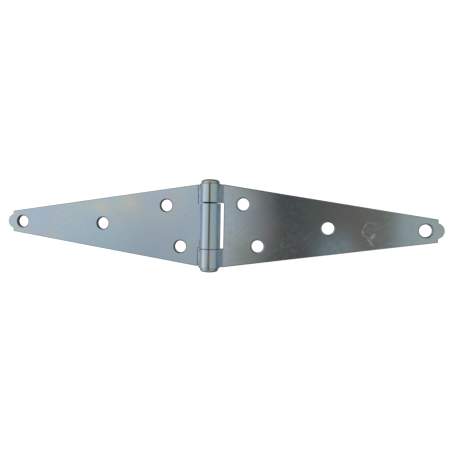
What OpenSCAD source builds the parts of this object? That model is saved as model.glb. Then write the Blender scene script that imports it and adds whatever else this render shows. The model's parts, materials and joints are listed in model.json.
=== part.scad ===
// Heavy double strap hinge: two tapered sheet-steel straps, rolled at their roots into
// the three knuckles of a barrel, and a pin riveted over at both ends.
//
// Frame, in millimetres: the open hinge lies on its back. +X runs along the right strap,
// +Y along the pin and +Z out of the front. The origin is in the back plane, under the
// middle of the pin's axis.

/* [Straps] */
// Distance from the pin's axis to the tip of a strap
strap_reach = 130; // [110:1:180]
// Width of a strap at its root, which is also the length of the barrel
root_width = 48.5; // [42:0.5:60]
// Width of a strap at its square shoulders
tip_width = 12.8; // [11:0.1:20]
// Thickness of the sheet
sheet_t = 2.3; // [1.6:0.1:3]
// Radius of the round tab on a strap's tip
tab_r = 4.4; // [3:0.1:5.4]
// Distance that the tab stands past the shoulders
tab_length = 3.3; // [2:0.1:4]

/* [Screw holes] */
// Diameter of a screw hole
hole_d = 7; // [4:0.1:8]
// Distance from a strap's tip to the centre of its outermost hole
tip_hole_inset = 10; // [8:0.5:14]
// Distance from the pin's axis to the hole in the middle of a strap
mid_hole_reach = 67.3; // [50:0.5:90]
// Distance from the pin's axis to the hole nearest the barrel
near_hole_reach = 18.6; // [14:0.1:22]
// Distance of the hole nearest the barrel from the strap's centre line
near_hole_side = 12.8; // [8:0.1:15]
// Distance from the pin's axis to the other hole of that pair
far_hole_reach = 27.4; // [24:0.1:40]
// Distance of the other hole of that pair from the strap's centre line
far_hole_side = 11.4; // [6:0.1:13]

/* [Barrel] */
// Diameter of the pin
pin_d = 7.8; // [5:0.1:9]
// Radial clearance between the pin and the knuckles
pin_clearance = 0.08; // [0.02:0.01:0.1]
// Length of the upper and of the lower knuckle
outer_knuckle_l = 10.9; // [8:0.1:14]
// Gap between the upper knuckle and the centre one
upper_gap = 0.3; // [0.1:0.05:0.6]
// Gap between the lower knuckle and the centre one
lower_gap = 0.15; // [0.1:0.05:0.6]
// Gap between the centre knuckle and the edge of the right strap's notch
notch_gap = 1; // [0.5:0.1:2]
// Gap between an outer knuckle and the edge of the left strap's notch
side_notch_gap = 1.5; // [0.5:0.1:2]
// Gap between the end of a rolled knuckle and the face of the strap
seam_gap = 0.1; // [0.05:0.05:0.5]

/* [Pin heads] */
// Diameter of a head
head_d = 10.7; // [10:0.1:12]
// Height of a head
head_h = 2.8; // [2.2:0.1:4]
// Height of the head's straight rim
head_rim_h = 0.8; // [0.3:0.1:1]
// Radius of the head's shoulder, between its rim and its crown
head_shoulder_r = 1.3; // [0.5:0.1:1.5]

/* [Hidden] */
$fn = 96;
cut_over = 1;

bore_r = pin_d / 2 + pin_clearance;
barrel_r = bore_r + sheet_t;
notch_reach = barrel_r + notch_gap;
side_notch_reach = barrel_r + side_notch_gap;
shoulder_reach = strap_reach - tab_length;
half_root = root_width / 2;
upper_knuckle_y = half_root - outer_knuckle_l;
lower_knuckle_y = -half_root + outer_knuckle_l;
centre_top_y = upper_knuckle_y - upper_gap;
centre_bottom_y = lower_knuckle_y + lower_gap;

// The end of a knuckle's roll comes down on the strap at this angle below the pin's axis.
seam_angle = asin((bore_r - seam_gap) / barrel_r);

// Screw holes of the right strap, from the tip to the barrel, as [x, y]
SCREW_HOLES = [
    [strap_reach - tip_hole_inset, 0],
    [mid_hole_reach, 0],
    [near_hole_reach, near_hole_side],
    [far_hole_reach, -far_hole_side],
];

// Outline of a strap, from its notch line to its tip
module strap_outline() {
    polygon([
        [notch_reach, -half_root],
        [shoulder_reach, -tip_width / 2],
        [shoulder_reach, tip_width / 2],
        [notch_reach, half_root],
    ]);
    translate([strap_reach - tab_r, 0]) circle(r = tab_r);
}

// Flat strap that points along +X, with its screw holes
module flat_strap(holes) {
    difference() {
        linear_extrude(sheet_t) strap_outline();
        for (hole = holes)
            translate([hole.x, hole.y, -cut_over])
                cylinder(d = hole_d, h = sheet_t + 2 * cut_over);
    }
}

// Section of a knuckle and of the flat web that joins it to the strap, where X runs
// towards the strap and Y out of the front. The roll starts under the pin's axis, passes
// behind and over the pin, and ends on the strap's front face.
module knuckle_section() {
    seam_reach = 2 * barrel_r;
    difference() {
        translate([0, barrel_r]) circle(r = barrel_r);
        translate([0, barrel_r]) circle(r = bore_r);
        polygon([
            [0, barrel_r],
            [seam_reach * cos(seam_angle), barrel_r - seam_reach * sin(seam_angle)],
            [seam_reach * cos(seam_angle), -cut_over],
            [0, -cut_over],
        ]);
    }
    square([notch_reach, sheet_t]);
}

// Knuckle of a strap that points along +X, from one place along the pin to another
module knuckle(from_y, to_y) {
    translate([0, to_y, 0])
        rotate([90, 0, 0])
            linear_extrude(to_y - from_y) knuckle_section();
}

// Head of the pin, standing on the plane z = 0
module pin_head() {
    head_r = head_d / 2;
    flat_r = head_r - head_shoulder_r;
    shoulder_z = head_rim_h + head_shoulder_r;
    crown_h = head_h - shoulder_z;
    crown_r = (flat_r * flat_r + crown_h * crown_h) / (2 * crown_h);
    rotate_extrude() {
        square([head_r, head_rim_h]);
        square([flat_r, shoulder_z]);
        intersection() {
            translate([flat_r, head_rim_h]) circle(r = head_shoulder_r);
            square([head_r, head_h]);
        }
        intersection() {
            translate([0, head_h - crown_r]) circle(r = crown_r);
            square([flat_r, head_h]);
        }
    }
}

module right_strap() {
    color([0.62, 0.66, 0.68])
        union() {
            flat_strap(SCREW_HOLES);
            knuckle(upper_knuckle_y, half_root);
            knuckle(-half_root, lower_knuckle_y);
        }
}

// Cut that sets a strap's edge back to the side notch line, from one place to another
module side_notch(from_y, to_y) {
    translate([0, from_y, -cut_over])
        cube([side_notch_reach, to_y - from_y, sheet_t + 2 * cut_over]);
}

// The left strap's hole pattern is the right one's turned half a turn about +Z.
module left_strap() {
    color([0.68, 0.73, 0.76])
        rotate([0, 0, 180])
            union() {
                difference() {
                    flat_strap(SCREW_HOLES);
                    side_notch(-half_root - cut_over, -centre_top_y);
                    side_notch(-centre_bottom_y, half_root + cut_over);
                }
                knuckle(-centre_top_y, -centre_bottom_y);
            }
}

module hinge_pin() {
    color([0.55, 0.58, 0.58])
        translate([0, 0, barrel_r])
            rotate([-90, 0, 0])
                union() {
                    translate([0, 0, -half_root]) cylinder(d = pin_d, h = root_width);
                    translate([0, 0, half_root]) pin_head();
                    translate([0, 0, -half_root]) mirror([0, 0, 1]) pin_head();
                }
}

right_strap();
left_strap();
hinge_pin();
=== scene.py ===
"""Heavy double strap hinge in bright zinc-plated steel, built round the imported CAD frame.

Each strap is one punched blank of sheet with rounded edges, and its tongues are rolled round
the pin into knuckles, as they are in the press. The CAD solids are replaced piece by piece by
meshes of the same size that have these edges.
"""

import json
import math

import bmesh
import bpy
from mathutils import Matrix, Vector
from mathutils.geometry import delaunay_2d_cdt


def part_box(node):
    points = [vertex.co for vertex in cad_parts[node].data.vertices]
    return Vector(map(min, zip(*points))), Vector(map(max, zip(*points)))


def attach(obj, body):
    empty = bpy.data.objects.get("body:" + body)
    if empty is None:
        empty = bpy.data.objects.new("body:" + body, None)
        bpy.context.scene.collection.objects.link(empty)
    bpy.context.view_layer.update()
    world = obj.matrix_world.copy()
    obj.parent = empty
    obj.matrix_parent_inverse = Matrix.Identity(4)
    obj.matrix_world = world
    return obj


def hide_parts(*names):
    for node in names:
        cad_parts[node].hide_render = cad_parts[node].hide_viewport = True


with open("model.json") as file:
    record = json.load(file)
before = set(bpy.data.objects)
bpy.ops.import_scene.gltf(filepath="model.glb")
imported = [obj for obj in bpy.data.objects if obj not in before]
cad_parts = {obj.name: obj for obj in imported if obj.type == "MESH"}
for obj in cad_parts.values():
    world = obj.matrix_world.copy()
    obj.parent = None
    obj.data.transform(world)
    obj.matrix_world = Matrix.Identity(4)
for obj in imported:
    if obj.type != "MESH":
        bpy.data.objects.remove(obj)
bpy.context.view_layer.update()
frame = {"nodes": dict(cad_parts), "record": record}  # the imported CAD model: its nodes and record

MM = 0.001
TURN = 2 * math.pi

# ---- Sizes that the CAD frame gives ----------------------------------------------------------

STRAP_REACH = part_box("right_strap")[1].x
HALF_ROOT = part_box("right_strap")[1].y
BARREL_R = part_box("right_strap")[1].z / 2
PIN_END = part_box("hinge_pin")[1].y
HEAD_R = (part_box("hinge_pin")[1].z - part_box("hinge_pin")[0].z) / 2

SCREW_MOUNTS = [
    mount
    for mount in frame["record"]["mounts"]
    if mount["kind"] == "bore" and mount["name"].startswith("right_")
]
SCREW_HOLES = [Vector(mount["pos_m"][:2]) for mount in SCREW_MOUNTS]
HOLE_R = SCREW_MOUNTS[0]["dims"]["r_mm"] * MM
SHEET_T = SCREW_MOUNTS[0]["dims"]["length_mm"] * MM
BORE_R = BARREL_R - SHEET_T


def knuckle_ends(node, side):
    """Places along the pin of the corners of a strap's knuckles, on the far side of the pin."""
    points = [v.co for v in frame["nodes"][node].data.vertices]
    return [p.y for p in points if p.x * side > BORE_R]


outer_ends = knuckle_ends("right_strap", -1)
centre_ends = knuckle_ends("left_strap", 1)
UPPER_KNUCKLE = (min(y for y in outer_ends if y > 0), HALF_ROOT)
LOWER_KNUCKLE = (-HALF_ROOT, max(y for y in outer_ends if y < 0))
# The left strap is made pointing along +X like the right one, and then turned half a turn.
CENTRE_KNUCKLE = (-max(centre_ends), -min(centre_ends))

# ---- Sizes as in the CAD source --------------------------------------------------------------

NOTCH_REACH = BARREL_R + 1.0 * MM
SIDE_NOTCH_REACH = BARREL_R + 1.5 * MM
TAB_LENGTH = 3.3 * MM
TAB_R = 4.4 * MM
TIP_WIDTH = 12.8 * MM
SEAM_GAP = 0.1 * MM
PIN_R = 3.9 * MM

SHOULDER_REACH = STRAP_REACH - TAB_LENGTH
ROLL_ANGLE = 1.5 * math.pi + math.asin((BORE_R - SEAM_GAP) / BARREL_R)
ROLL_ARM = BARREL_R - SHEET_T / 2
TONGUE_LENGTH = ROLL_ANGLE * ROLL_ARM

# ---- Edges that the press and the plating barrel leave ---------------------------------------

FRONT_EDGE = 0.55 * MM  # radius of a blank's front edge
BACK_EDGE = 0.24 * MM  # radius of its back edge, and of a hole's
CUT_BLEND = 0.07 * MM  # depth below the front face over which the mark of a cut edge comes in
HOLE_ROLL_WIDTH = 0.75 * MM
HOLE_ROLL_DEPTH = 0.55 * MM
CORNER_R = 0.6 * MM
NOTCH_CORNER_R = 0.35 * MM
STRAIGHT = math.radians(1)  # a corner that turns less than this gets no round

# The pin's heads are as wide and as high as the CAD's, but rounder.
HEAD_RIM_H = 0.5 * MM
HEAD_SHOULDER_R = 1.9 * MM
HEAD_UNDER_R = 0.2 * MM

# ---- Steps of the meshes ---------------------------------------------------------------------

EDGE_STEPS = 5
CORNER_STEPS = 6
TAB_STEPS = 4 * CORNER_STEPS
HOLE_STEPS = 72
ROLL_STEPS = 88
CROWN_STEPS = 8
PIN_STEPS = 96
FLAT_STEP = 3.0 * MM
QUARTER = [TURN / 4 * i / EDGE_STEPS for i in range(EDGE_STEPS + 1)]  # angles of a round edge
END_SHARE = 0.001  # an edge gets no point nearer than this share of it to its ends
NEARLY_ZERO = 0.001 * MM
WELD = 0.002 * MM  # points nearer than this become one
CDT_GAP = 1e-6  # the same in the fill of a flat face, in millimetres

# ---- Names and sizes that the shape trees use ------------------------------------------------

CUT_MARK = "cut_edge"  # attribute: 0 on the sheet's faces, and 1 where the press cut it
HOLE_MARK = "hole_edge"  # the same, round the screw holes only
LEAST_MARK = 0.001  # a smaller mark counts as none
HOLE_SIZES = {
    "Hole radius": HOLE_R,
    "Sheet thickness": SHEET_T,
    "Roll width": HOLE_ROLL_WIDTH,
    "Roll depth": HOLE_ROLL_DEPTH,
    "Back edge": BACK_EDGE,
}
KNUCKLE_SIZES = {"Barrel radius": BARREL_R, "Roll arm": ROLL_ARM}


# ---- Objects, meshes and node trees ----------------------------------------------------------


def placed(name, data):
    """New object in the scene, of a mesh, a light or a camera."""
    piece = bpy.data.objects.new(name, data)
    bpy.context.scene.collection.objects.link(piece)
    return piece


def finished_mesh(name, shape):
    """Mesh of a shape that is built."""
    mesh = bpy.data.meshes.new(name)
    shape.to_mesh(mesh)
    shape.free()
    return mesh


def new_material(name):
    """Material with nodes, and its tree."""
    material = bpy.data.materials.new(name)
    material.use_nodes = True
    return material, material.node_tree


def link(tree, value, socket):
    """Feeds a socket from another node's output, or sets it to a plain value."""
    if isinstance(value, bpy.types.NodeSocket):
        tree.links.new(value, socket)
    else:
        socket.default_value = value


def maths(tree, operation, a, b=0.0, c=0.0, clamp=False):
    """Output of one Math node."""
    node = tree.nodes.new("ShaderNodeMath")
    node.operation = operation
    node.use_clamp = clamp
    for value, socket in zip((a, b, c), node.inputs):
        link(tree, value, socket)
    return node.outputs[0]


def plus(tree, a, b):
    """Sum of two values."""
    return maths(tree, "ADD", a, b)


def minus(tree, a, b):
    """First value less the second."""
    return maths(tree, "SUBTRACT", a, b)


def times(tree, a, b, clamp=False):
    """Product of two values."""
    return maths(tree, "MULTIPLY", a, b, clamp=clamp)


def rest_of(tree, share):
    """What a share leaves of 1."""
    return minus(tree, 1.0, share)


def ramp_up(tree, value, start, end):
    """0 below start, 1 above end, and a straight line between."""
    return maths(tree, "DIVIDE", minus(tree, value, start), end - start, clamp=True)


def parts_of(tree, vector):
    """X, Y and Z of a vector."""
    node = tree.nodes.new("ShaderNodeSeparateXYZ")
    link(tree, vector, node.inputs[0])
    return node.outputs


def vector_of(tree, x, y, z):
    """Vector with these parts."""
    node = tree.nodes.new("ShaderNodeCombineXYZ")
    for value, socket in zip((x, y, z), node.inputs):
        link(tree, value, socket)
    return node.outputs[0]


# ---- Shape trees -----------------------------------------------------------------------------


def shape_tree(name, sizes):
    """Empty geometry tree with one input for each named size, and its input and output nodes."""
    tree = bpy.data.node_groups.new(name, "GeometryNodeTree")
    tree.interface.new_socket("Geometry", in_out="INPUT", socket_type="NodeSocketGeometry")
    for size in sizes:
        tree.interface.new_socket(size, in_out="INPUT", socket_type="NodeSocketFloat")
    tree.interface.new_socket("Geometry", in_out="OUTPUT", socket_type="NodeSocketGeometry")
    return tree, tree.nodes.new("NodeGroupInput"), tree.nodes.new("NodeGroupOutput")


def end_shape(tree, geometry, material, output):
    """Last nodes of every shape tree: real geometry, and its finish."""
    real = tree.nodes.new("GeometryNodeRealizeInstances")
    finish = tree.nodes.new("GeometryNodeSetMaterial")
    finish.inputs["Material"].default_value = material
    link(tree, geometry, real.inputs[0])
    link(tree, real.outputs[0], finish.inputs["Geometry"])
    link(tree, finish.outputs[0], output.inputs[0])


def grow(tree, mesh, sizes):
    """Plain mesh that a shape tree makes of a mesh, with these sizes."""
    seed = placed("seed", mesh)
    modifier = seed.modifiers.new("shape", "NODES")
    modifier.node_group = tree
    for item in tree.interface.items_tree:
        if item.in_out == "INPUT" and item.name in sizes:
            modifier[item.identifier] = sizes[item.name]
    evaluated = seed.evaluated_get(bpy.context.evaluated_depsgraph_get())
    grown = bpy.data.meshes.new_from_object(evaluated)
    bpy.data.objects.remove(seed)
    return grown


def marked_points(tree, geometry, name, value):
    """Geometry whose points carry a value under a name."""
    mark = tree.nodes.new("GeometryNodeStoreNamedAttribute")
    mark.inputs["Name"].default_value = name
    link(tree, geometry, mark.inputs["Geometry"])
    link(tree, value, mark.inputs["Value"])
    return mark.outputs[0]


def cut_share(tree, height):
    """0 on the sheet's faces, and 1 where the press cut it, at a height over the sheet's back."""
    below_front = ramp_up(tree, minus(tree, SHEET_T, height), 0.0, CUT_BLEND)
    above_back = ramp_up(tree, height, 0.0, BACK_EDGE)
    return maths(tree, "MINIMUM", below_front, above_back)


def quarter_round(tree, share):
    """Sine and 1 less the cosine, at a share of a quarter turn."""
    angle = times(tree, share, TURN / 4)
    return maths(tree, "SINE", angle), rest_of(tree, maths(tree, "COSINE", angle))


def hole_section(tree, given, across):
    """Radius and height across a hole's wall: its back edge, its straight land and its roll."""
    hole_r, sheet_t, roll_width, roll_depth, back_edge = (given.outputs[s] for s in HOLE_SIZES)
    back_end = (EDGE_STEPS - 1) / (3 * EDGE_STEPS - 1)
    roll_start = 2 * EDGE_STEPS / (3 * EDGE_STEPS - 1)
    back_in, back_out = quarter_round(tree, rest_of(tree, ramp_up(tree, across, 0.0, back_end)))
    roll_up, roll_out = quarter_round(tree, ramp_up(tree, across, roll_start, 1.0))
    radius = maths(tree, "MULTIPLY_ADD", back_out, back_edge, hole_r)
    radius = plus(tree, radius, times(tree, roll_out, roll_width))
    land = minus(tree, minus(tree, sheet_t, back_edge), roll_depth)
    land_share = ramp_up(tree, across, back_end, roll_start)
    height = times(tree, rest_of(tree, back_in), back_edge)
    height = plus(tree, height, times(tree, land, land_share))
    height = plus(tree, height, times(tree, roll_up, roll_depth))
    return radius, height


def punched_hole_tree(material):
    """A hole's wall at every point: its front edge is drawn in by the punch, and its back is crisp."""
    tree, given, output = shape_tree("punched_holes", HOLE_SIZES)
    wall = tree.nodes.new("GeometryNodeMeshGrid")
    wall.inputs["Vertices X"].default_value = HOLE_STEPS + 1
    wall.inputs["Vertices Y"].default_value = 3 * EDGE_STEPS
    around, across, _ = parts_of(tree, wall.outputs["UV Map"])
    radius, height = hole_section(tree, given, across)
    angle = times(tree, around, TURN)
    x = times(tree, radius, maths(tree, "COSINE", angle))
    y = times(tree, radius, maths(tree, "SINE", angle))
    marked = marked_points(tree, wall.outputs["Mesh"], HOLE_MARK, cut_share(tree, height))
    place = tree.nodes.new("GeometryNodeSetPosition")
    link(tree, marked, place.inputs["Geometry"])
    link(tree, vector_of(tree, x, y, height), place.inputs["Position"])
    copies = tree.nodes.new("GeometryNodeInstanceOnPoints")
    link(tree, given.outputs["Geometry"], copies.inputs["Points"])
    link(tree, place.outputs[0], copies.inputs["Instance"])
    end_shape(tree, copies.outputs[0], material, output)
    return tree


def rolled_knuckle_tree(material):
    """Rolls what lies behind X = 0 round the pin, leaves the strap flat, and marks its cut edges."""
    tree, given, output = shape_tree("rolled_knuckles", KNUCKLE_SIZES)
    barrel_r, roll_arm = (given.outputs[s] for s in KNUCKLE_SIZES)
    x, y, z = parts_of(tree, tree.nodes.new("GeometryNodeInputPosition").outputs[0])
    marked = marked_points(tree, given.outputs["Geometry"], CUT_MARK, cut_share(tree, z))
    angle = maths(tree, "DIVIDE", times(tree, x, -1.0), roll_arm)
    arm = minus(tree, barrel_r, z)
    back = times(tree, arm, maths(tree, "SINE", angle))
    up = minus(tree, barrel_r, times(tree, arm, maths(tree, "COSINE", angle)))
    is_tongue = tree.nodes.new("FunctionNodeCompare")
    is_tongue.operation = "LESS_THAN"
    link(tree, x, is_tongue.inputs[0])
    link(tree, 0.0, is_tongue.inputs[1])
    roll = tree.nodes.new("GeometryNodeSetPosition")
    link(tree, marked, roll.inputs["Geometry"])
    link(tree, is_tongue.outputs[0], roll.inputs["Selection"])
    link(tree, vector_of(tree, times(tree, back, -1.0), y, up), roll.inputs["Position"])
    end_shape(tree, roll.outputs[0], material, output)
    return tree


# ---- Outline of a blank ----------------------------------------------------------------------


def angles_round(steps):
    """Angles at even steps round a circle."""
    return [TURN * i / steps for i in range(steps)]


def is_inside(share):
    """Whether a share of an edge is clear of both its ends."""
    return END_SHARE < share < 1 - END_SHARE


def corner_points(before, corner, after, radius):
    """Points of the round that replaces a corner between two straight edges."""
    towards_before = (before - corner).normalized()
    towards_after = (after - corner).normalized()
    half = towards_before.angle(towards_after) / 2
    turn = math.pi - 2 * half
    if turn < STRAIGHT:
        return [corner]
    centre = corner + (towards_before + towards_after).normalized() * radius / math.sin(half)
    start = corner + towards_before * radius / math.tan(half) - centre
    left_turn = (corner - before).cross(after - corner) > 0
    step = (turn if left_turn else -turn) / CORNER_STEPS
    return [centre + Matrix.Rotation(step * i, 2) @ start for i in range(CORNER_STEPS + 1)]


def tab_corners():
    """Corners along the round tab on a strap's tip, from one shoulder to the other."""
    centre = Vector((STRAP_REACH - TAB_R, 0))
    half_angle = math.acos((SHOULDER_REACH - centre.x) / TAB_R)
    angles = [half_angle * (2 * i / TAB_STEPS - 1) for i in range(TAB_STEPS + 1)]
    arc = [centre + TAB_R * Vector((math.cos(a), math.sin(a))) for a in angles]
    root_r = [NOTCH_CORNER_R] + [0.0] * (TAB_STEPS - 1) + [NOTCH_CORNER_R]
    return list(zip(arc, root_r))


def blank_corners(tongues):
    """Corners of a flat blank, anticlockwise, each with the radius of its round.

    tongues are the (low, high) places along the pin of its knuckles, from the top down.
    """
    tip = TIP_WIDTH / 2
    has_side_notches = tongues[0][1] < HALF_ROOT
    reach = SIDE_NOTCH_REACH if has_side_notches else NOTCH_REACH
    taper = (HALF_ROOT - tip) / (SHOULDER_REACH - NOTCH_REACH)
    root = HALF_ROOT - (reach - NOTCH_REACH) * taper
    corners = [(Vector((SHOULDER_REACH, -tip)), CORNER_R)]
    corners += tab_corners()
    corners += [(Vector((SHOULDER_REACH, tip)), CORNER_R)]
    corners += [(Vector((reach, root)), CORNER_R)]
    for low, high in tongues:
        if high < HALF_ROOT:
            corners += [(Vector((reach, high)), NOTCH_CORNER_R)]
        corners += [(Vector((-TONGUE_LENGTH, high)), CORNER_R)]
        corners += [(Vector((-TONGUE_LENGTH, low)), CORNER_R)]
        if low > -HALF_ROOT:
            corners += [(Vector((reach, low)), NOTCH_CORNER_R)]
    corners += [(Vector((reach, -root)), CORNER_R)]
    return corners


def edge_points(start, end):
    """Points strictly between two corners: at the roll's own steps on a tongue, evenly elsewhere."""
    run = end - start
    roll_step = TONGUE_LENGTH / ROLL_STEPS
    count = max(1, math.ceil(run.length / FLAT_STEP))
    shares = {i / count for i in range(1, count)}
    if abs(run.x) > roll_step and min(start.x, end.x) < 0:
        places = [-roll_step * i for i in range(ROLL_STEPS)]
        shares = {(x - start.x) / run.x for x in places}
    return [start + run * share for share in sorted(shares) if is_inside(share)]


def outline(tongues):
    """Closed outline of a blank, as points in order."""
    corners = blank_corners(tongues)
    rounds = []
    for i, (corner, radius) in enumerate(corners):
        before = corners[i - 1][0]
        after = corners[(i + 1) % len(corners)][0]
        rounds.append(corner_points(before, corner, after, radius) if radius else [corner])
    points = []
    for i, arc in enumerate(rounds):
        points += arc + edge_points(arc[-1], rounds[(i + 1) % len(rounds)][0])
    return points


def inset(points, distance):
    """An anticlockwise outline moved into the sheet by a distance."""
    moved = []
    for i, point in enumerate(points):
        before = (point - points[i - 1]).normalized()
        after = (points[(i + 1) % len(points)] - point).normalized()
        inward = (before + after).normalized()
        inward = Vector((-inward.y, inward.x))
        moved.append(point + inward * distance / inward.dot(Vector((-after.y, after.x))))
    return moved


# ---- Straps ----------------------------------------------------------------------------------


def edge_profile():
    """(distance into the sheet, height) across a blank's edge, from its back to its front."""
    back = [(BACK_EDGE * (1 - math.cos(a)), BACK_EDGE * (1 - math.sin(a))) for a in QUARTER]
    front = [
        (FRONT_EDGE * (1 - math.cos(a)), SHEET_T - FRONT_EDGE * (1 - math.sin(a)))
        for a in QUARTER
    ]
    return back[::-1] + front


def circle(centre, radius):
    """Points round a circle, which match those of a punched hole's wall."""
    angles = angles_round(HOLE_STEPS)
    return [centre + radius * Vector((math.cos(a), math.sin(a))) for a in angles]


def edges_across(points):
    """Pairs of outline points that lie opposite each other on a tongue, at every step of its roll."""
    places = {}
    for i, point in enumerate(points):
        if CORNER_R - TONGUE_LENGTH < point.x < NEARLY_ZERO:
            place = round(point.x / NEARLY_ZERO)
            places.setdefault(place, []).append((point.y, i))
    pairs = []
    for same in places.values():
        order = [i for _, i in sorted(same)]
        pairs += list(zip(order[::2], order[1::2]))
    return pairs


def add_face_sheet(mesh, loops, height, is_front):
    """Fills a flat face, bounded by its first loop, round the holes that the others are."""
    points = [point / MM for loop in loops for point in loop]
    loop_of = [number for number, loop in enumerate(loops) for _ in loop]
    edges = edges_across(loops[0])
    first = 0
    for loop in loops:
        count = len(loop)
        edges += [(first + i, first + (i + 1) % count) for i in range(count)]
        first += count
    inside_outline = 1
    flat, _, faces, sources, *_ = delaunay_2d_cdt(points, edges, [], inside_outline, CDT_GAP)
    verts = [mesh.verts.new((p.x * MM, p.y * MM, height)) for p in flat]
    for face in faces:
        homes = {loop_of[sources[i][0]] for i in face}
        if len(homes) > 1 or homes == {0}:
            corners = [verts[i] for i in face]
            mesh.faces.new(corners if is_front else corners[::-1])


def add_edge(mesh, points):
    """Rounded wall round a blank's outline."""
    rings = [
        [mesh.verts.new((p.x, p.y, height)) for p in inset(points, depth)]
        for depth, height in edge_profile()
    ]
    count = len(points)
    for low, high in zip(rings, rings[1:]):
        for i in range(count):
            j = (i + 1) % count
            mesh.faces.new((low[i], low[j], high[j], high[i]))


def flat_blank(tongues, material):
    """Mesh of a punched blank before it is rolled: its faces, its edge and its holes' walls."""
    marks = bpy.data.meshes.new("hole_marks")
    marks.from_pydata([(*hole, 0) for hole in SCREW_HOLES], [], [])
    walls = grow(punched_hole_tree(material), marks, HOLE_SIZES)
    points = outline(tongues)
    blank = bmesh.new()
    blank.from_mesh(walls)
    add_edge(blank, points)
    for height, edge, hole_edge in (
        (SHEET_T, FRONT_EDGE, HOLE_ROLL_WIDTH),
        (0.0, BACK_EDGE, BACK_EDGE),
    ):
        loops = [inset(points, edge)]
        loops += [circle(hole, HOLE_R + hole_edge) for hole in SCREW_HOLES]
        add_face_sheet(blank, loops, height, height > 0)
    bmesh.ops.remove_doubles(blank, verts=blank.verts, dist=WELD)
    bmesh.ops.recalc_face_normals(blank, faces=blank.faces)
    return finished_mesh("blank", blank)


def smooth(mesh):
    """Shades a mesh smooth, with its flat faces kept flat up to their rounded edges."""
    mesh.shade_smooth()
    mesh.normals_split_custom_set_from_vertices(weighted_normals(mesh))


def weighted_normals(mesh):
    """Each vertex's normal as the mean of its faces', weighted by their areas.

    Where a sheet's face meets its cut edge, only the faces of the sheet count.
    """
    marks = mesh.attributes.get(CUT_MARK)
    on_face = [False] * len(mesh.vertices)
    if marks:
        on_face = [mark.value < LEAST_MARK for mark in marks.data]
    normals = [Vector() for _ in mesh.vertices]
    for face in mesh.polygons:
        is_sheet_face = all(on_face[index] for index in face.vertices)
        for index in face.vertices:
            if is_sheet_face or not on_face[index]:
                normals[index] += face.normal * face.area
    return [normal.normalized() for normal in normals]


def strap(name, tongues, material, half_turned):
    """One strap: its blank, rolled, and turned to its own side of the pin."""
    blank = flat_blank(tongues, material)
    mesh = grow(rolled_knuckle_tree(material), blank, KNUCKLE_SIZES)
    if half_turned:
        mesh.transform(Matrix.Rotation(TURN / 2, 4, "Z"))
    smooth(mesh)
    mesh.name = name
    return placed(name, mesh)


# ---- Pin -------------------------------------------------------------------------------------


def head_profile():
    """(radius, height) of a pin head, from the shank to the middle of its crown."""
    flat_r = HEAD_R - HEAD_SHOULDER_R
    shoulder_z = HEAD_RIM_H + HEAD_SHOULDER_R
    crown_h = PIN_END - HALF_ROOT - shoulder_z
    crown_r = (flat_r**2 + crown_h**2) / (2 * crown_h)
    profile = [(PIN_R, 0.0)]
    profile += [
        (HEAD_R - HEAD_UNDER_R * (1 - math.sin(a)), HEAD_UNDER_R * (1 - math.cos(a)))
        for a in QUARTER
    ]
    profile += [
        (flat_r + HEAD_SHOULDER_R * math.cos(a), HEAD_RIM_H + HEAD_SHOULDER_R * math.sin(a))
        for a in QUARTER
    ]
    for i in range(CROWN_STEPS - 1, 0, -1):
        radius = flat_r * i / CROWN_STEPS
        profile.append((radius, shoulder_z + crown_h - crown_r + math.sqrt(crown_r**2 - radius**2)))
    return profile


def pin(material):
    """The riveted pin, turned about its axis: a shank with a domed head at each end."""
    upper = [(radius, HALF_ROOT + z) for radius, z in head_profile()]
    lower = [(radius, -z) for radius, z in upper]
    profile = lower[::-1] + upper
    steps = PIN_STEPS
    shape = bmesh.new()
    rings = []
    for radius, y in profile:
        angles = angles_round(steps)
        ring = [(radius * math.sin(a), y, BARREL_R + radius * math.cos(a)) for a in angles]
        rings.append([shape.verts.new(p) for p in ring])
    for low, high in zip(rings, rings[1:]):
        for i in range(steps):
            j = (i + 1) % steps
            shape.faces.new((low[i], low[j], high[j], high[i]))
    for ring, y in ((rings[0], -PIN_END), (rings[-1], PIN_END)):
        pole = shape.verts.new((0, y, BARREL_R))
        for i in range(steps):
            shape.faces.new((ring[i], ring[(i + 1) % steps], pole))
    bmesh.ops.recalc_face_normals(shape, faces=shape.faces)
    mesh = finished_mesh("pin", shape)
    mesh.materials.append(material)
    smooth(mesh)
    return placed("pin", mesh)


# ---- Finishes --------------------------------------------------------------------------------

# Noises: cycles a metre, detail and roughness. The grain's own scales are its axes' below.
DRIFT = (22.0, 2.0, 0.5)
GRAIN = (1.0, 4.0, 0.6)
MOTTLE = (420.0, 4.0, 0.65)
HAZE = (60.0, 3.0, 0.6)
WAVES = (16.0, 1.0, 0.4)
FILM_WANDER = (90.0, 3.0, 0.6)
RUB_BREAKS = (1100.0, 3.0, 0.7)
SHEET_GRAIN = (260.0, 2600.0, 2600.0)
PIN_GRAIN = (2200.0, 900.0, 2200.0)

# What a noise or a soft spot does: the values between which it comes in
SPECK_RAMP = (0.36, 0.70)
HAZE_RAMP = (0.0, 0.95)
RUB_BREAK_RAMP = (0.28, 0.62)
STROKE_RAMP = (0.0, 0.5)
JOINT_RAMP = (0.1, 0.5)
WANDER_SHARES = (0.5, 1.5)
SPECK_SHARE = 0.12
# How far a cut edge goes to its dull colour with painted shade, and to its dull roughness
CUT_SHARE = 0.8

# Roughness: its range on the sheet and on the pin, and where the surface is dull
SHEET_ROUGHNESS = (0.05, 0.19)
PIN_ROUGHNESS = (0.14, 0.34)
CUT_ROUGHNESS = 0.42
RUB_ROUGHNESS = 0.42
SHANK_ROUGHNESS = 0.55

WAVE_DEPTH = 0.10 * MM
SPANGLE_DEPTH = 0.0022 * MM
GRAIN_DEPTH = 0.0025 * MM

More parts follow.
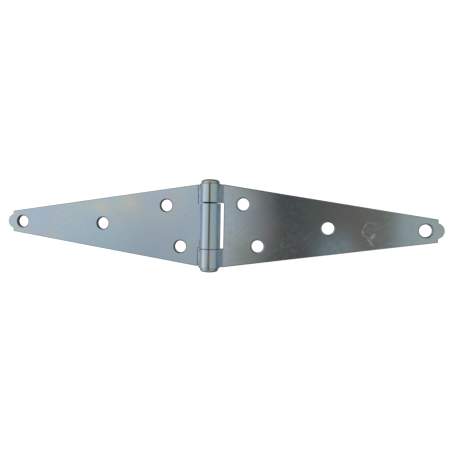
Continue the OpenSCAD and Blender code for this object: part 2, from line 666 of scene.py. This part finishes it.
SPECK_COLOUR = (0.34, 0.36, 0.38)
# Dull sheared metal of the cut edges, darkened further as painted shade
CUT_EDGE_DULL_AND_SHADE_COLOUR = (0.25, 0.26, 0.27)
# Painted bluish reflection on the cut edge at the left strap's side notch
SIDE_NOTCH_REFLECTION_COLOUR = (0.42, 0.54, 0.66)
# Near black for painted shade in the holes, along the cut edges and in the knuckle joints, where it also stands
# for dried grease
PAINTED_SHADE_AND_GREASE_COLOUR = (0.03, 0.03, 0.03)
RUB_COLOUR = (0.80, 0.80, 0.79)
# Shank painted nearly black, as painted shade in the gaps between the knuckles
SHANK_PAINTED_SHADE_COLOUR = (0.035, 0.035, 0.035)
SHEET_FILM = [
    (0.30, (0.540, 0.620, 0.700)),
    (0.46, (0.560, 0.630, 0.690)),
    (0.54, (0.595, 0.635, 0.645)),
    (0.60, (0.595, 0.610, 0.665)),
    (0.70, (0.545, 0.625, 0.695)),
]
PIN_FILM = [
    (0.30, (0.50, 0.53, 0.55)),
    (0.50, (0.55, 0.55, 0.51)),
    (0.70, (0.52, 0.53, 0.56)),
]

# Rub marks: x, y, half length, half width (mm), lean (degrees) and strength
RUB_STROKES = [
    (86.5, -1.9, 2.8, 0.8, 0, 0.85),
    (87.7, 2.0, 2.8, 0.75, -33, 0.65),
    (90.2, 3.7, 2.4, 0.6, -80, 0.36),
    (92.7, 1.8, 3.4, 0.6, 4, 0.40),
    (92.0, -4.0, 2.6, 1.3, -36, 0.85),
    (88.5, -4.3, 2.0, 0.8, 52, 0.55),
    (90.7, -7.2, 4.2, 0.8, 37, 0.65),
    (89.6, -0.6, 3.4, 3.2, 30, 0.22),
    (90.6, -5.6, 2.6, 2.0, 38, 0.25),
    (101.5, -7.6, 4.5, 0.3, 81, 0.5),
    (103.0, -6.7, 4.0, 0.3, 84, 0.4),
]
RUB_DEPTH = 2 * MM
# Patches of film: x, y, half sizes (mm), strength and colour
FILM_PATCHES = [
    (-68.0, 9.5, 12.0, 7.0, 0.9, (0.68, 0.66, 0.58)),
    (-50.0, 12.0, 12.0, 9.0, 0.9, (0.68, 0.66, 0.58)),
    (-61.0, 2.0, 12.0, 6.0, 0.5, (0.63, 0.60, 0.67)),
    (-34.0, -9.0, 28.0, 20.0, 0.8, (0.565, 0.59, 0.61)),
    (-26.0, -16.0, 12.0, 7.0, 0.4, (0.62, 0.60, 0.65)),
    (18.0, -16.0, 11.0, 12.0, 0.9, (0.50, 0.55, 0.49)),
    (24.0, 15.0, 13.0, 10.0, 0.9, (0.66, 0.70, 0.72)),
    (32.0, 2.0, 7.0, 22.0, 0.6, (0.62, 0.60, 0.66)),
    (84.0, 3.0, 18.0, 16.0, 0.6, (0.62, 0.60, 0.60)),
    (100.0, 5.0, 4.0, 9.0, 0.55, (0.54, 0.65, 0.58)),
    (109.0, 3.0, 6.0, 14.0, 0.7, (0.57, 0.61, 0.72)),
]
# Half size of a soft spot along an axis on which it hardly fades
THROUGH = 1.0

# Painted shade, and grease at the joints: where it comes in or goes along the straps, and its strengths
JOINT_SHADE_AND_GREASE = [(UPPER_KNUCKLE[0], 0.92), (LOWER_KNUCKLE[1], 0.15)]
JOINT_SHADE_AND_GREASE_SIZE = (9.0 * MM, 0.75 * MM, 16.0 * MM)
LEFT_HOLE_SHADE_IN = (0.0, 1.0 * MM)
TIP_HOLE_SHADE_IN = (100.0 * MM, 110.0 * MM)
TIP_HOLE_SHADE_OUT = (121.5 * MM, 123.0 * MM)
HOLE_SHADE_SHARE = 0.85
EDGE_SHADE_IN = (14.0 * MM, 30.0 * MM)
EDGE_SHADE_OUT = (82.0 * MM, 112.0 * MM)
EDGE_SHADE_MIDDLE = (-4.0 * MM, 4.0 * MM)
EDGE_SHADE_SHARES = (0.3, 0.75)  # on the lower cut edge and on the upper one

# Size of the painted bluish reflection round the side notch
SIDE_NOTCH_REFLECTION_SIZE = (1.5 * MM, THROUGH, 6.0 * MM)
HEAD_BLEND = 0.05 * MM


def noise(tree, coordinates, scale, detail, rough):
    """A noise's value over these coordinates, in cycles a metre."""
    node = tree.nodes.new("ShaderNodeTexNoise")
    link(tree, coordinates, node.inputs["Vector"])
    node.inputs["Scale"].default_value = scale
    node.inputs["Detail"].default_value = detail
    node.inputs["Roughness"].default_value = rough
    return node.outputs[0]


def stretched(tree, coordinates, scale):
    """Coordinates scaled along each axis."""
    node = tree.nodes.new("ShaderNodeMapping")
    link(tree, coordinates, node.inputs["Vector"])
    node.inputs["Scale"].default_value = scale
    return node.outputs[0]


def colours(tree, value, stops):
    """A colour ramp over a value, from (place, colour) stops."""
    node = tree.nodes.new("ShaderNodeValToRGB")
    link(tree, value, node.inputs[0])
    ramp = node.color_ramp
    while len(ramp.elements) < len(stops):
        ramp.elements.new(0.5)
    for element, (place, colour) in zip(ramp.elements, stops):
        element.position = place
        element.color = (*colour, 1.0)
    return node.outputs[0]


def between(tree, value, low, high):
    """A value from 0 to 1 spread from low to high."""
    node = tree.nodes.new("ShaderNodeMapRange")
    link(tree, value, node.inputs["Value"])
    node.inputs["To Min"].default_value = low
    node.inputs["To Max"].default_value = high
    return node.outputs[0]


def bump(tree, height, depth, normal=None):
    """Normal of a surface that a height from 0 to 1 raises by a depth."""
    node = tree.nodes.new("ShaderNodeBump")
    node.inputs["Distance"].default_value = depth
    link(tree, height, node.inputs["Height"])
    if normal is not None:
        link(tree, normal, node.inputs["Normal"])
    return node.outputs[0]


def mixed(tree, share, first, second):
    """Mix of two plain values."""
    node = tree.nodes.new("ShaderNodeMix")
    link(tree, share, node.inputs["Factor"])
    link(tree, first, node.inputs["A"])
    link(tree, second, node.inputs["B"])
    return node.outputs["Result"]


def blend_colours(tree, share, first, second):
    """Mix of two colours, each from a node or a plain (red, green, blue)."""
    node = tree.nodes.new("ShaderNodeMix")
    node.data_type = "RGBA"
    link(tree, share, node.inputs["Factor"])
    for colour, socket in zip((first, second), node.inputs[6:8]):
        link(tree, (*colour, 1.0) if isinstance(colour, tuple) else colour, socket)
    return node.outputs[2]


def soft_spot(tree, where, centre, size, turn=0.0):
    """1 at a centre, falling smoothly to 0 at a size away along each axis."""
    offset = tree.nodes.new("ShaderNodeMapping")
    offset.vector_type = "TEXTURE"
    offset.inputs["Location"].default_value = centre
    offset.inputs["Rotation"].default_value = (0.0, 0.0, turn)
    offset.inputs["Scale"].default_value = size
    link(tree, where, offset.inputs["Vector"])
    length = tree.nodes.new("ShaderNodeVectorMath")
    length.operation = "LENGTH"
    link(tree, offset.outputs[0], length.inputs[0])
    fall = tree.nodes.new("ShaderNodeMapRange")
    fall.interpolation_type = "SMOOTHSTEP"
    link(tree, length.outputs["Value"], fall.inputs["Value"])
    fall.inputs["From Min"].default_value = 1.0
    fall.inputs["From Max"].default_value = 0.0
    return fall.outputs[0]


def strongest(tree, shares):
    """The largest of several values."""
    most = shares[0]
    for share in shares[1:]:
        most = maths(tree, "MAXIMUM", most, share)
    return most


def mark_of(tree, name):
    """Value that a shape tree left on the mesh's points under a name."""
    node = tree.nodes.new("ShaderNodeAttribute")
    node.attribute_name = name
    return node.outputs["Fac"]


def rub_marks(tree, where):
    """Where other parts rubbed the front of the right strap: short broken strokes."""
    strokes = []
    for x, y, half_length, half_width, lean, strength in RUB_STROKES:
        centre = (x * MM, y * MM, SHEET_T)
        size = (half_width * MM, half_length * MM, RUB_DEPTH)
        stroke = soft_spot(tree, where, centre, size, math.radians(lean))
        strokes.append(times(tree, ramp_up(tree, stroke, *STROKE_RAMP), strength))
    broken = ramp_up(tree, noise(tree, where, *RUB_BREAKS), *RUB_BREAK_RAMP)
    return times(tree, strongest(tree, strokes), broken)


def joint_shade_and_grease(tree, where):
    """Painted shade in the gaps between the knuckles, with dried grease that blackens their edges, mostly at
    the wider upper joint.
    """
    joints = []
    for y, strength in JOINT_SHADE_AND_GREASE:
        joint = soft_spot(tree, where, (0.0, y, 2 * BARREL_R), JOINT_SHADE_AND_GREASE_SIZE)
        joints.append(times(tree, ramp_up(tree, joint, *JOINT_RAMP), strength))
    return strongest(tree, joints)


def hole_painted_shade(tree, where):
    """Painted shade in the walls of the holes of the left strap and of the right tip."""
    x, _, _ = parts_of(tree, where)
    on_left = ramp_up(tree, times(tree, x, -1.0), *LEFT_HOLE_SHADE_IN)
    comes = ramp_up(tree, x, *TIP_HOLE_SHADE_IN)
    goes = rest_of(tree, ramp_up(tree, x, *TIP_HOLE_SHADE_OUT))
    hole_shade_place = maths(tree, "MAXIMUM", on_left, times(tree, comes, goes))
    return times(tree, times(tree, mark_of(tree, HOLE_MARK), hole_shade_place), HOLE_SHADE_SHARE)


def edge_painted_shade(tree, where):
    """Painted shade on the cut edges of the right strap, along the middle of its length."""
    x, y, _ = parts_of(tree, where)
    comes = ramp_up(tree, x, *EDGE_SHADE_IN)
    goes = rest_of(tree, ramp_up(tree, x, *EDGE_SHADE_OUT))
    side = between(tree, ramp_up(tree, y, *EDGE_SHADE_MIDDLE), *EDGE_SHADE_SHARES)
    share = times(tree, times(tree, comes, goes), side)
    return times(tree, share, mark_of(tree, CUT_MARK))


def film_patches(tree, where, tint):
    """Places where the passivation film is thicker or thinner, and changes colour."""
    wander = between(tree, noise(tree, where, *FILM_WANDER), *WANDER_SHARES)
    for x, y, half_x, half_y, share, colour in FILM_PATCHES:
        size = (half_x * MM, half_y * MM, THROUGH)
        spot = soft_spot(tree, where, (x * MM, y * MM, 0.0), size)
        spot = times(tree, times(tree, spot, wander), share, clamp=True)
        tint = blend_colours(tree, spot, tint, colour)
    return tint


def sheet_wear_and_painted_shade(tree, where, tint, rough):
    """Film patches, dull cut edges darkened with painted shade, a painted bluish reflection at the side notch,
    painted shade in the holes, along the edges and in the joints, where it also stands for grease, and rub
    marks on a strap.
    """
    tint = film_patches(tree, where, tint)
    # Cut edges: dull metal darkened with painted shade, and a painted bluish reflection at the side notch
    cut_dull_and_shade_share = times(tree, mark_of(tree, CUT_MARK), CUT_SHARE)
    # Where the painted bluish reflection replaces the cut edges' colour
    notch_reflection_spot = soft_spot(tree, where, (-SIDE_NOTCH_REACH, 0.0, 0.0), SIDE_NOTCH_REFLECTION_SIZE)
    dull = blend_colours(tree, notch_reflection_spot, CUT_EDGE_DULL_AND_SHADE_COLOUR, SIDE_NOTCH_REFLECTION_COLOUR)
    tint = blend_colours(tree, cut_dull_and_shade_share, tint, dull)
    rough = mixed(tree, cut_dull_and_shade_share, rough, CUT_ROUGHNESS)
    # Painted shade in the holes, along the edges and in the joints, where it also stands for grease
    painted_shades_and_grease = [joint_shade_and_grease(tree, where), hole_painted_shade(tree, where), edge_painted_shade(tree, where)]
    tint = blend_colours(tree, strongest(tree, painted_shades_and_grease), tint, PAINTED_SHADE_AND_GREASE_COLOUR)
    rub = rub_marks(tree, where)
    tint = blend_colours(tree, rub, tint, RUB_COLOUR)
    return tint, mixed(tree, rub, rough, RUB_ROUGHNESS)


def pin_painted_shade(tree, where, tint, rough):
    """Dull shank between the pin's bright heads, painted nearly black as painted shade in the gaps between the
    knuckles.
    """
    _, along, _ = parts_of(tree, where)
    off_middle = maths(tree, "ABSOLUTE", along)
    head = ramp_up(tree, off_middle, HALF_ROOT - HEAD_BLEND, HALF_ROOT)
    tint = blend_colours(tree, head, SHANK_PAINTED_SHADE_COLOUR, tint)
    return tint, mixed(tree, head, SHANK_ROUGHNESS, rough)


def zinc(name, film, grain_scale, roughness, wear_and_shade):
    """Bright zinc plating: passivation film in faint drifting tints, rolled grain and small spangle."""
    material, tree = new_material(name)
    where = tree.nodes.new("ShaderNodeTexCoord").outputs["Object"]
    grain = noise(tree, stretched(tree, where, grain_scale), *GRAIN)
    mottle = noise(tree, where, *MOTTLE)
    specks = ramp_up(tree, mottle, *SPECK_RAMP)
    tint = colours(tree, noise(tree, where, *DRIFT), film)
    tint = blend_colours(tree, between(tree, specks, 0.0, SPECK_SHARE), tint, SPECK_COLOUR)
    haze = ramp_up(tree, noise(tree, where, *HAZE), *HAZE_RAMP)
    rough = between(tree, times(tree, plus(tree, grain, specks), haze), *roughness)
    # Wear and painted shade over the film
    tint, rough = wear_and_shade(tree, where, tint, rough)
    waves = bump(tree, noise(tree, where, *WAVES), WAVE_DEPTH)
    spangle = bump(tree, mottle, SPANGLE_DEPTH, waves)
    shader = tree.nodes["Principled BSDF"]
    shader.inputs["Metallic"].default_value = 1.0
    link(tree, tint, shader.inputs["Base Color"])
    link(tree, rough, shader.inputs["Roughness"])
    link(tree, bump(tree, grain, GRAIN_DEPTH, spangle), shader.inputs["Normal"])
    return material


sheet_zinc = zinc("zinc_sheet", SHEET_FILM, SHEET_GRAIN, SHEET_ROUGHNESS, sheet_wear_and_painted_shade)
pin_zinc = zinc("zinc_pin", PIN_FILM, PIN_GRAIN, PIN_ROUGHNESS, pin_painted_shade)

# ---- The hinge -------------------------------------------------------------------------------

right = strap("strap_right", [UPPER_KNUCKLE, LOWER_KNUCKLE], sheet_zinc, half_turned=False)
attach(right, "right_strap_and_pin")
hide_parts("right_strap")

left = strap("strap_left", [CENTRE_KNUCKLE], sheet_zinc, half_turned=True)
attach(left, "left_strap_body")
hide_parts("left_strap")

riveted_pin = pin(pin_zinc)
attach(riveted_pin, "right_strap_and_pin")
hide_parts("hinge_pin")

# ---- Stage -----------------------------------------------------------------------------------

FLOOR_Z = -STRAP_REACH - 10 * MM
FLOOR_HALF = 6.0
FLOOR_COLOUR = (0.9, 0.9, 0.9, 1.0)
FLOOR_ROUGHNESS = 0.9
FLOOR_GLOW_SHARE = 0.85
WHITE = (1.0, 1.0, 1.0, 1.0)
WORLD_LIGHT = 0.9  # strength for the rays that carry light
WORLD_SEEN = 1.0  # strength where it is seen

# Lamps: name, place and size (m), and watts
LAMPS = [
    ("key_lamp", (-0.5, 0.2, 0.9), 0.6, 12.0),
    ("fill_lamp", (0.6, -0.4, 0.8), 0.6, 6.0),
]

# Tent: its cloth from its left side to its right one, and places on it in metres
TENT_R = 1.2
TENT_SUBDIVISIONS = 5
CLOTH = [
    (0.00, (0.36, 0.47, 0.64)),
    (0.02, (0.50, 0.60, 0.76)),
    (0.045, (0.92, 0.98, 1.00)),
    (0.10, (0.92, 0.94, 0.93)),
    (0.21, (0.70, 0.79, 0.84)),
    (0.285, (0.77, 0.83, 0.82)),
    (0.32, (0.71, 0.74, 0.76)),
    (0.37, (0.65, 0.70, 0.73)),
    (0.42, (0.62, 0.64, 0.63)),
    (0.50, (0.55, 0.57, 0.54)),
    (0.61, (0.43, 0.50, 0.45)),
    (0.65, (0.48, 0.53, 0.50)),
    (0.72, (0.53, 0.56, 0.53)),
    (0.85, (0.49, 0.54, 0.53)),
    (0.96, (0.44, 0.51, 0.54)),
    (0.993, (0.33, 0.43, 0.50)),
    (1.00, (0.21, 0.33, 0.43)),
]
FAR = 9.0  # half size of a soft spot on the tent along an axis on which it hardly fades
SHADE_Y = (-0.26, 0.12)
SHADE_SPOT = ((-0.42, 0.0, TENT_R), (0.42, FAR, FAR))
SHADE_SHARE = 0.95
SHADE_COLOUR = (0.32, 0.45, 0.53)
SKIRT_OFF_MIDDLE = (0.70 * TENT_R, 0.92 * TENT_R)
SKIRT_COLOUR = (0.42, 0.44, 0.44)

# Opening in the tent overhead: its colours from left to right, its borders and its soft ends
OPENING = [
    (0.15, (0.080, 0.080, 0.074)),
    (0.33, (0.104, 0.110, 0.106)),
    (0.55, (0.154, 0.154, 0.142)),
    (0.72, (0.178, 0.160, 0.146)),
    (0.90, (0.205, 0.190, 0.176)),
]
OPENING_SPAN = (-0.1, 0.3)
OPENING_LEFT = (-0.184, -0.032)
OPENING_RIGHT = (0.262, 0.290)
OPENING_MIDDLE_Y = -0.04
OPENING_BOW = 0.18
OPENING_SPOT = ((0.05, -0.1, TENT_R), (FAR, 1.1, FAR))
OPENING_ENDS = (0.0, 0.3)
PATCH_SPOT = ((0.12, -0.12, TENT_R), (0.085, 0.11, FAR))
PATCH_COLOUR = (0.36, 0.43, 0.43)

# Collar: its colours from left to right, and its sizes
COLLAR = [
    (0.00, (0.40, 0.48, 0.56)),
    (0.40, (0.24, 0.27, 0.29)),
    (0.50, (0.18, 0.19, 0.18)),
    (0.60, (0.15, 0.18, 0.19)),
    (1.00, (0.17, 0.26, 0.31)),
]
COLLAR_HALF = (0.20, 0.12)
COLLAR_TOP = 12 * MM
COLLAR_FOOT = FLOOR_Z + 2 * MM
COLLAR_HOLE = 0.35  # width of its foot, as a share of its top's
COLLAR_STEPS = 64

# Camera: place, and turns in degrees about its own axes, one after the other
CAMERA_PLACE = (60.67 * MM, 9.51 * MM, SHEET_T + 298.93 * MM)
CAMERA_TURNS = [(9.56, "Y"), (-2.06, "X"), (1.10, "Z")]
LENS_MM = 40.96
SENSOR_MM = 36.0


def seen_plainly(tree):
    """1 for rays that should find a plain white background, and 0 for rays that carry light."""
    rays = tree.nodes.new("ShaderNodeLightPath").outputs
    names = ("Is Camera Ray", "Is Glossy Ray", "Is Transmission Ray")
    return strongest(tree, [rays[name] for name in names])


def white_world():
    """World that is white where it is seen, and lights the stage softly."""
    world = bpy.data.worlds.new("studio")
    bpy.context.scene.world = world
    world.use_nodes = True
    tree = world.node_tree
    background = tree.nodes["Background"]
    background.inputs["Color"].default_value = WHITE
    strength = between(tree, seen_plainly(tree), WORLD_LIGHT, WORLD_SEEN)
    link(tree, strength, background.inputs["Strength"])


def floor():
    """Plain pale floor, low enough for the left strap to hang down behind the right one."""
    half = FLOOR_HALF
    mesh = bpy.data.meshes.new("floor")
    corners = [(-half, -half), (half, -half), (half, half), (-half, half)]
    mesh.from_pydata([(x, y, FLOOR_Z) for x, y in corners], [], [(0, 1, 2, 3)])
    material, tree = new_material("white_floor")
    paper = tree.nodes["Principled BSDF"]
    paper.inputs["Base Color"].default_value = FLOOR_COLOUR
    paper.inputs["Roughness"].default_value = FLOOR_ROUGHNESS
    glow = tree.nodes.new("ShaderNodeEmission")
    mix = tree.nodes.new("ShaderNodeMixShader")
    link(tree, times(tree, seen_plainly(tree), FLOOR_GLOW_SHARE), mix.inputs[0])
    link(tree, paper.outputs[0], mix.inputs[1])
    link(tree, glow.outputs[0], mix.inputs[2])
    link(tree, mix.outputs[0], tree.nodes["Material Output"].inputs["Surface"])
    mesh.materials.append(material)
    piece = placed("floor", mesh)


def lamp(name, place, size, watts):
    """Soft square lamp that faces the hinge."""
    light = bpy.data.lights.new(name, "AREA")
    light.size = size
    light.energy = watts
    piece = placed(name, light)
    piece.location = place
    piece.rotation_euler = (-Vector(place)).to_track_quat("-Z", "Y").to_euler()
    piece.visible_glossy = False


def glow_only_in_metal(name, mesh, cloth_colour):
    """Stage piece that only the metal mirrors, with a glow whose colour follows its own place."""
    material, tree = new_material(name)
    where = tree.nodes.new("ShaderNodeTexCoord").outputs["Object"]
    glow = tree.nodes.new("ShaderNodeEmission")
    link(tree, cloth_colour(tree, where), glow.inputs["Color"])
    link(tree, glow.outputs[0], tree.nodes["Material Output"].inputs["Surface"])
    mesh.materials.append(material)
    piece = placed(name, mesh)
    piece.visible_camera = False
    piece.visible_diffuse = False
    piece.visible_transmission = False
    piece.visible_shadow = False


def left_shade(tree, where):
    """How far the left half of the tent is shaded, towards its front."""
    _, y, _ = parts_of(tree, where)
    low_front = rest_of(tree, ramp_up(tree, y, *SHADE_Y))
    left_half = soft_spot(tree, where, *SHADE_SPOT)
    return times(tree, times(tree, low_front, left_half), SHADE_SHARE)


def opening_share(tree, where):
    """1 in the opening overhead, whose left border is bowed."""
    x, y, _ = parts_of(tree, where)
    off_middle = maths(tree, "ABSOLUTE", minus(tree, y, OPENING_MIDDLE_Y))
    bowed = plus(tree, x, times(tree, off_middle, OPENING_BOW))
    left_side = ramp_up(tree, bowed, *OPENING_LEFT)
    right_side = rest_of(tree, ramp_up(tree, x, *OPENING_RIGHT))
    ends = ramp_up(tree, soft_spot(tree, where, *OPENING_SPOT), *OPENING_ENDS)
    return times(tree, times(tree, left_side, right_side), ends)


def tent_cloth(tree, where):
    """Tent lit from the left, with a dark opening overhead and a grey skirt in front and behind."""
    x, y, _ = parts_of(tree, where)
    cloth = colours(tree, ramp_up(tree, x, -TENT_R, TENT_R), CLOTH)
    cloth = blend_colours(tree, left_shade(tree, where), cloth, SHADE_COLOUR)
    inside = colours(tree, ramp_up(tree, x, *OPENING_SPAN), OPENING)
    inside = blend_colours(tree, soft_spot(tree, where, *PATCH_SPOT), inside, PATCH_COLOUR)
    cloth = blend_colours(tree, opening_share(tree, where), cloth, inside)
    skirt = ramp_up(tree, maths(tree, "ABSOLUTE", y), *SKIRT_OFF_MIDDLE)
    return blend_colours(tree, skirt, cloth, SKIRT_COLOUR)


def collar_card(tree, where):
    """Card that gives the hinge its dark outlines: blue on the left and deep teal on the right."""
    x, _, _ = parts_of(tree, where)
    return colours(tree, ramp_up(tree, x, -COLLAR_HALF[0], COLLAR_HALF[0]), COLLAR)


def light_tent():
    """Round tent of pale cloth."""
    tent = bmesh.new()
    bmesh.ops.create_icosphere(tent, subdivisions=TENT_SUBDIVISIONS, radius=TENT_R)
    glow_only_in_metal("light_tent", finished_mesh("light_tent", tent), tent_cloth)


def dark_collar():
    """Open bowl of card round the hinge, from just over the floor to just over the straps."""
    steps = COLLAR_STEPS
    verts = []
    for share, height in ((1.0, COLLAR_TOP), (COLLAR_HOLE, COLLAR_FOOT)):
        for angle in angles_round(steps):
            x = COLLAR_HALF[0] * share * math.cos(angle)
            verts.append((x, COLLAR_HALF[1] * share * math.sin(angle), height))
    faces = [(i, (i + 1) % steps, steps + (i + 1) % steps, steps + i) for i in range(steps)]
    mesh = bpy.data.meshes.new("dark_collar")
    mesh.from_pydata(verts, [], faces)
    glow_only_in_metal("dark_collar", mesh, collar_card)


def camera():
    """Camera over the right strap, turned a little back towards the barrel."""
    data = bpy.data.cameras.new("camera")
    data.sensor_width = SENSOR_MM
    data.lens = LENS_MM
    stance = Matrix.Translation(CAMERA_PLACE)
    for degrees, axis in CAMERA_TURNS:
        stance = stance @ Matrix.Rotation(math.radians(degrees), 4, axis)
    piece = placed("camera", data)
    piece.matrix_world = stance
    bpy.context.scene.camera = piece


white_world()
floor()
light_tent()
dark_collar()
for lamp_row in LAMPS:
    lamp(*lamp_row)
camera()
bpy.context.scene.view_settings.view_transform = "Standard"
